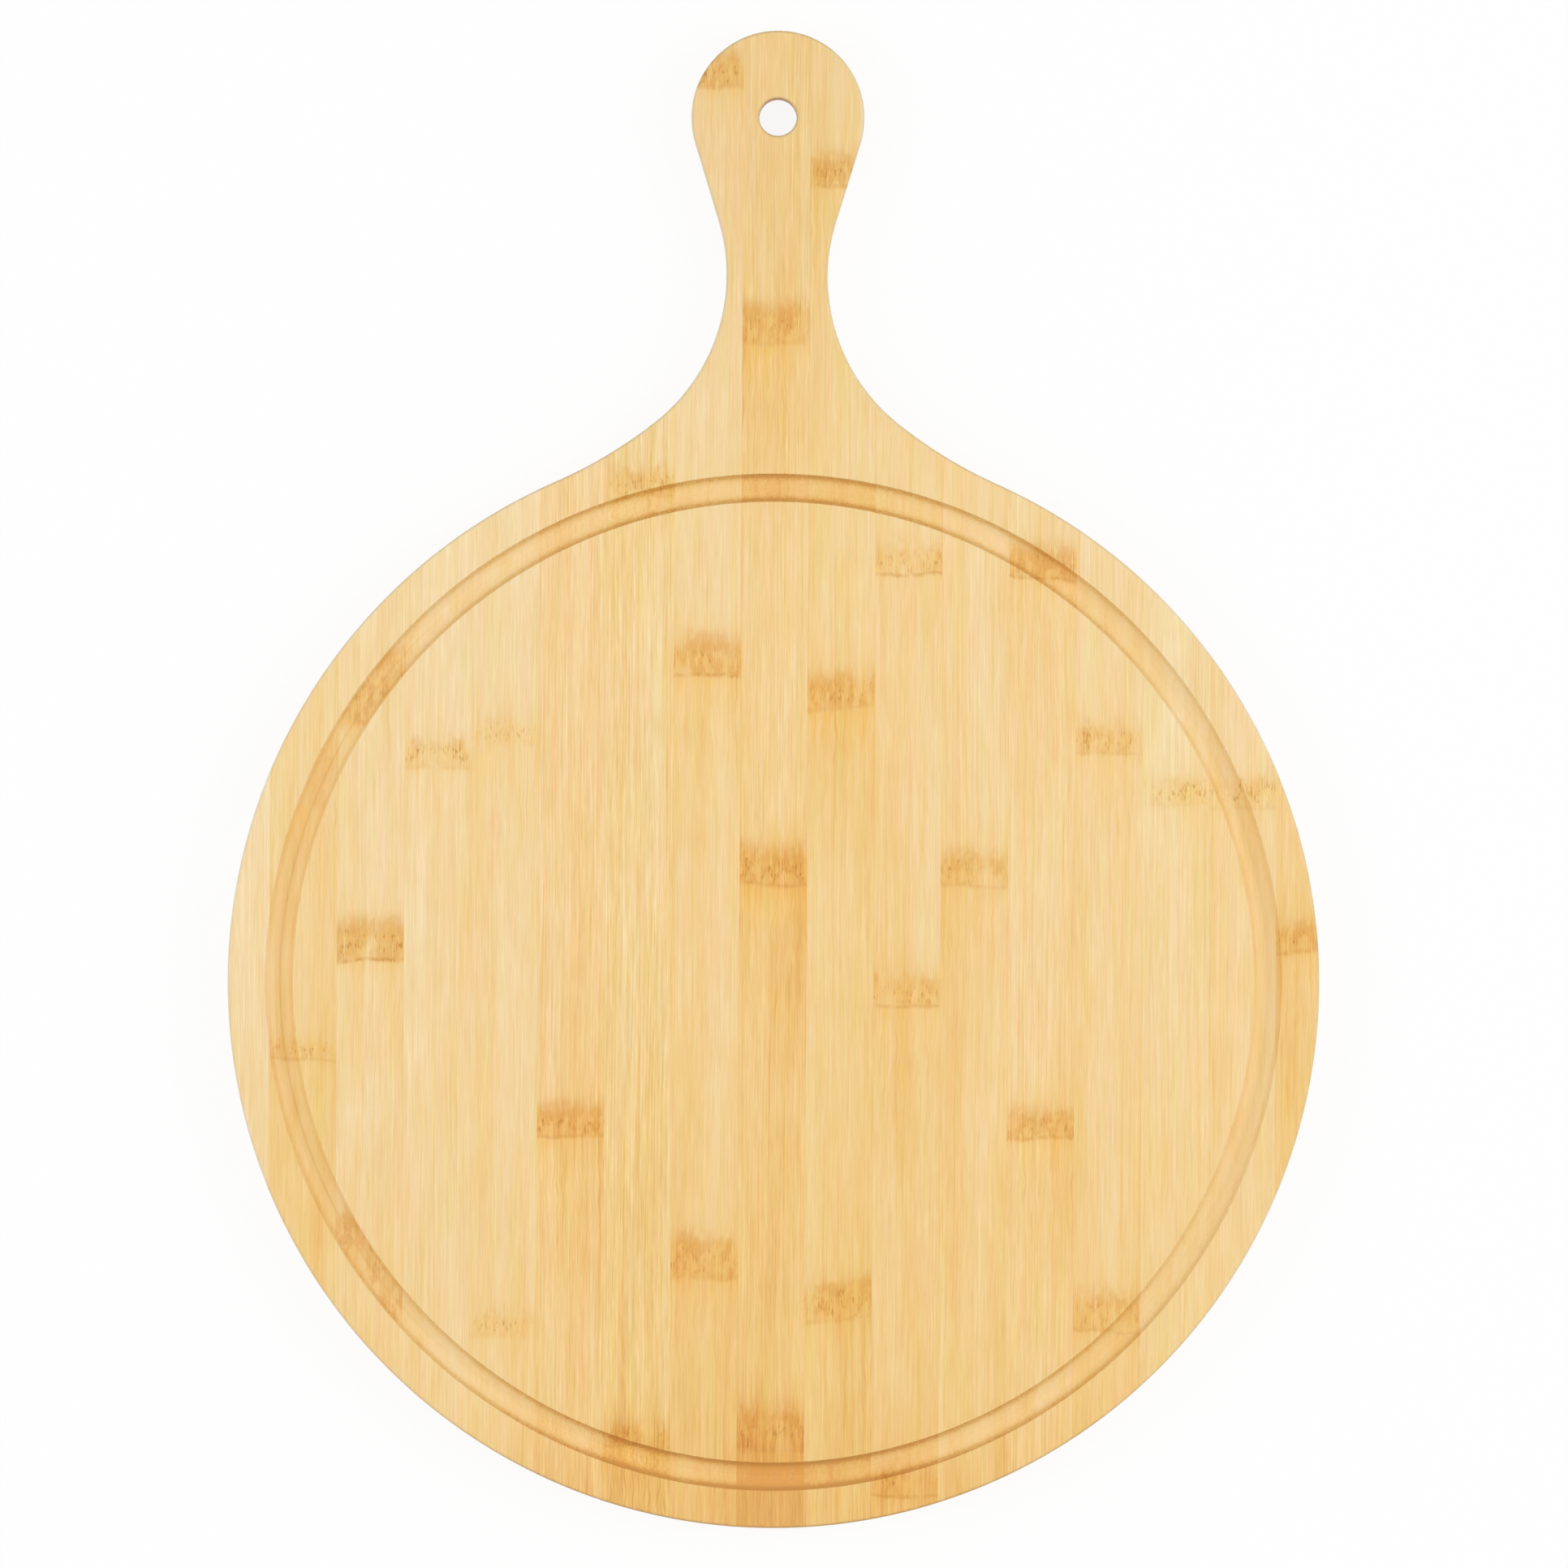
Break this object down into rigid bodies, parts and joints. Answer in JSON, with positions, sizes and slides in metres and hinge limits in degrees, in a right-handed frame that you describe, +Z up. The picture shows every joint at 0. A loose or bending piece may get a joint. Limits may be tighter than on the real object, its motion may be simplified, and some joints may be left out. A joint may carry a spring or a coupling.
{
  "type": "pizza serving board",
  "caption": "Round cross-laminated bamboo serving board with a shallow rim groove and a waisted handle that has a round hanging hole.",
  "frame": {"origin": "centre of the round part, on the flat underside that the board rests on", "axes": "+Y from the round part towards the tip of the handle, +Z up from the underside to the grooved serving face, +X to the right seen from above with the handle pointing away"},
  "size_m": [0.35, 0.48, 0.012],
  "materials": {
    "bamboo_pale": "satin, sanded and oiled pale bamboo",
    "bamboo_honey": "satin, sanded and oiled honey-coloured bamboo",
    "bamboo_amber": "satin, sanded and oiled amber bamboo"
  },
  "bodies": {
    "root": {"top_strip_01": "bamboo_pale", "top_strip_02": "bamboo_pale", "top_strip_03": "bamboo_pale", "top_strip_04": "bamboo_pale", "top_strip_05": "bamboo_pale", "top_strip_06": "bamboo_amber", "top_strip_07": "bamboo_honey", "top_strip_08": "bamboo_honey", "top_strip_09": "bamboo_amber", "top_strip_10": "bamboo_honey", "top_strip_11": "bamboo_honey", "top_strip_12": "bamboo_honey", "top_strip_13": "bamboo_pale", "top_strip_14": "bamboo_honey", "top_strip_15": "bamboo_pale", "top_strip_16": "bamboo_pale", "top_strip_17": "bamboo_amber", "core_strip_01": "bamboo_honey", "core_strip_02": "bamboo_pale", "core_strip_03": "bamboo_honey", "core_strip_04": "bamboo_amber", "core_strip_05": "bamboo_pale", "core_strip_06": "bamboo_honey", "core_strip_07": "bamboo_honey", "core_strip_08": "bamboo_pale", "core_strip_09": "bamboo_honey", "core_strip_10": "bamboo_amber", "core_strip_11": "bamboo_pale", "core_strip_12": "bamboo_honey", "core_strip_13": "bamboo_honey", "core_strip_14": "bamboo_pale", "core_strip_15": "bamboo_honey", "core_strip_16": "bamboo_amber", "core_strip_17": "bamboo_pale", "core_strip_18": "bamboo_honey", "core_strip_19": "bamboo_honey", "core_strip_20": "bamboo_pale", "core_strip_21": "bamboo_honey", "core_strip_22": "bamboo_amber", "core_strip_23": "bamboo_pale", "bottom_strip_01": "bamboo_pale", "bottom_strip_02": "bamboo_honey", "bottom_strip_03": "bamboo_pale", "bottom_strip_04": "bamboo_amber", "bottom_strip_05": "bamboo_honey", "bottom_strip_06": "bamboo_pale", "bottom_strip_07": "bamboo_honey", "bottom_strip_08": "bamboo_pale", "bottom_strip_09": "bamboo_honey", "bottom_strip_10": "bamboo_pale", "bottom_strip_11": "bamboo_amber", "bottom_strip_12": "bamboo_honey", "bottom_strip_13": "bamboo_pale", "bottom_strip_14": "bamboo_honey", "bottom_strip_15": "bamboo_pale", "bottom_strip_16": "bamboo_honey", "bottom_strip_17": "bamboo_pale"}
  },
  "joints": []
}
